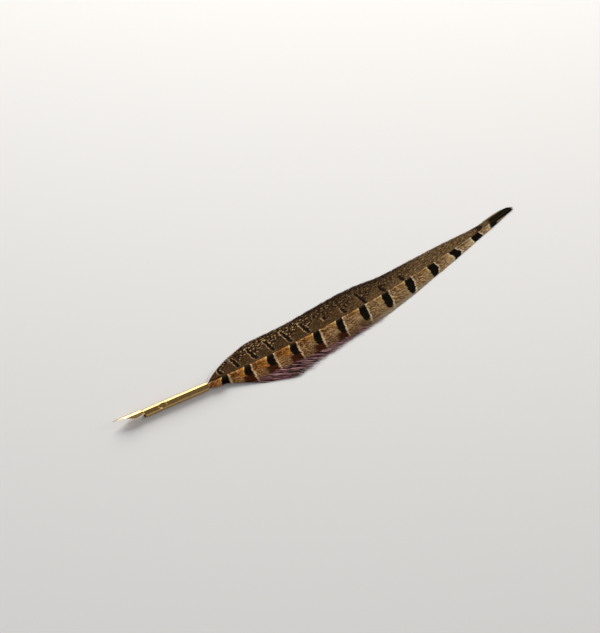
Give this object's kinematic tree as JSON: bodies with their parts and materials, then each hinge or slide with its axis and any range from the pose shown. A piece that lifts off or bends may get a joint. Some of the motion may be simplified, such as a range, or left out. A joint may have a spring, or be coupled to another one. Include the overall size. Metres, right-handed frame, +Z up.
{
  "type": "quill pen",
  "caption": "Quill pen with a barred pheasant tail feather glued in a slim brass barrel that grips a pull-out gold dip nib.",
  "frame": {"origin": "under the middle of the barrel, on the flat of its underside, which lies on the table", "axes": "+X along the barrel from the nib to the feather, +Y toward the feather's brown vane, +Z up from the table"},
  "size_m": [0.2707, 0.0483, 0.0052],
  "materials": {
    "brass": "polished tube with fine drawing lines and light handling wear",
    "nib_gold": "bright gold-plated pressed steel",
    "spring_bronze": "plain spring bronze",
    "cork": "cut cork",
    "glue": "clear amber adhesive",
    "shaft_keratin": "horn, orange-brown with dark patches at the bars, satin",
    "brown_vane": "feather barbs, brown with dark mottle, pale flecks and thin dark bars",
    "barred_vane": "feather barbs, orange to tan with black bars edged in cream",
    "barred_vane_tip": "feather barbs, cream-tan with black bars and an olive-dark tip",
    "fringe_purple": "loose feather barbs, purple-pink"
  },
  "bodies": {
    "holder": {"barrel": "brass", "nib_clip": "spring_bronze", "end_plug": "cork", "glue_collar": "glue", "quill_shaft": "shaft_keratin", "upper_vane": "brown_vane", "lower_vane_base": "barred_vane", "lower_vane_tip": "barred_vane_tip", "barb_fringe": "fringe_purple"},
    "nib": {"nib": "nib_gold"}
  },
  "joints": [
    {"name": "nib_slide", "type": "slide", "parent": "holder", "child": "nib", "axis": [-1, 0, 0], "range_m": [0, 0.0075]}
  ]
}
